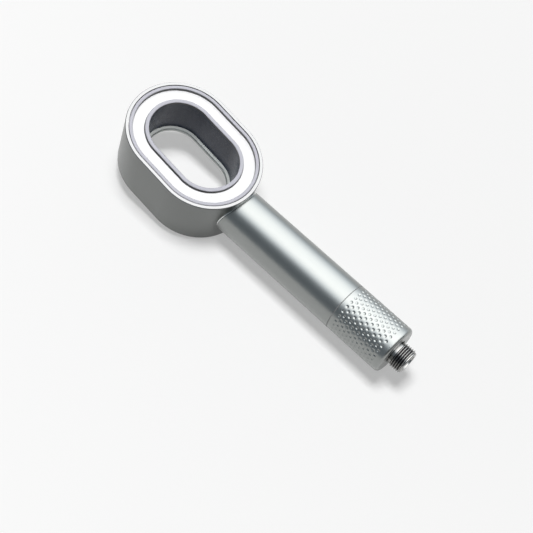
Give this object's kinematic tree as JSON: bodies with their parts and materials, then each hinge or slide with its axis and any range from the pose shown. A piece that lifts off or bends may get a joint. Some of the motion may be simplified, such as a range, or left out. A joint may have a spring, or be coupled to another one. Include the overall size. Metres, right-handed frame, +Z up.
{
  "type": "handheld shower head",
  "caption": "Handheld shower head: deep racetrack ring head with a hole through it, round filter handle, dimpled screw cap and male hose thread.",
  "frame": {"origin": "centre of the part's footprint, on the surface that it lies on", "axes": "+X along the handle's axis towards the hose thread, +Z up, on the side that the spray face looks to"},
  "size_m": [0.2996, 0.088, 0.0735],
  "materials": {
    "satin_shell": "satin anodised, fine bead-blasted grain",
    "dark_liner": "satin dark grey",
    "spray_face": "smooth bright white",
    "bezel": "satin pale grey",
    "collar": "polished thin trim",
    "seal_rubber": "matt black",
    "inner_plastic": "moulded, fine grain",
    "pale_plastic": "moulded, satin",
    "baffle_plastic": "moulded, satin",
    "inlet_metal": "dark nickel plate, turned",
    "regulator_plastic": "moulded",
    "screen_steel": "punched sheet",
    "filter_sleeve": "moulded perforated sleeve",
    "fleece": "felted fibre",
    "granules": "fine mineral beads"
  },
  "bodies": {
    "shower": {"head_shell": "satin_shell", "back_cover": "satin_shell", "hole_liner": "dark_liner", "face_plate": "spray_face", "outer_bezel": "bezel", "inner_bezel": "bezel", "outer_face_seal": "seal_rubber", "inner_face_seal": "seal_rubber", "flow_distributor": "baffle_plastic", "neck_socket": "inner_plastic", "neck_seal": "seal_rubber", "neck_collar": "collar", "handle_sleeve": "satin_shell", "handle_liner": "inner_plastic"},
    "seam_ring": {"seam_gasket": "seal_rubber"},
    "cap_ring": {"cap_seal": "seal_rubber"},
    "screw_cap": {"grip_cap": "satin_shell", "cap_core": "pale_plastic", "inlet_nipple": "inlet_metal", "nipple_seal": "seal_rubber", "flow_regulator": "regulator_plastic", "inlet_screen": "screen_steel"},
    "cartridge": {"cartridge_top_cap": "pale_plastic", "cartridge_seal": "seal_rubber", "cartridge_mesh": "filter_sleeve", "cartridge_fleece": "fleece", "cartridge_media": "granules", "cartridge_core": "pale_plastic", "cartridge_end_ring": "pale_plastic"}
  },
  "joints": [
    {"name": "cap_pull", "type": "slide", "parent": "shower", "child": "seam_ring", "axis": [1, 0, 0], "range_m": [0, 0.3]},
    {"name": "cap_lead", "type": "slide", "parent": "seam_ring", "child": "cap_ring", "axis": [1, 0, 0], "range_m": [0, 0.0061]},
    {"name": "cap_turn", "type": "hinge", "parent": "cap_ring", "child": "screw_cap", "pos_m": [0.08654, 0, 0.02859], "axis": [1, 0, 0], "range_deg": [0, 1080]},
    {"name": "cartridge_pull", "type": "slide", "parent": "shower", "child": "cartridge", "axis": [1, 0, 0], "range_m": [0, 0.151]}
  ],
  "couplings": [
    {"joint": "cap_lead", "follows": "cap_turn", "m_per_rad": 0.00031831},
    {"joint": "cartridge_pull", "follows": "cap_pull", "ratio": 0.5}
  ]
}
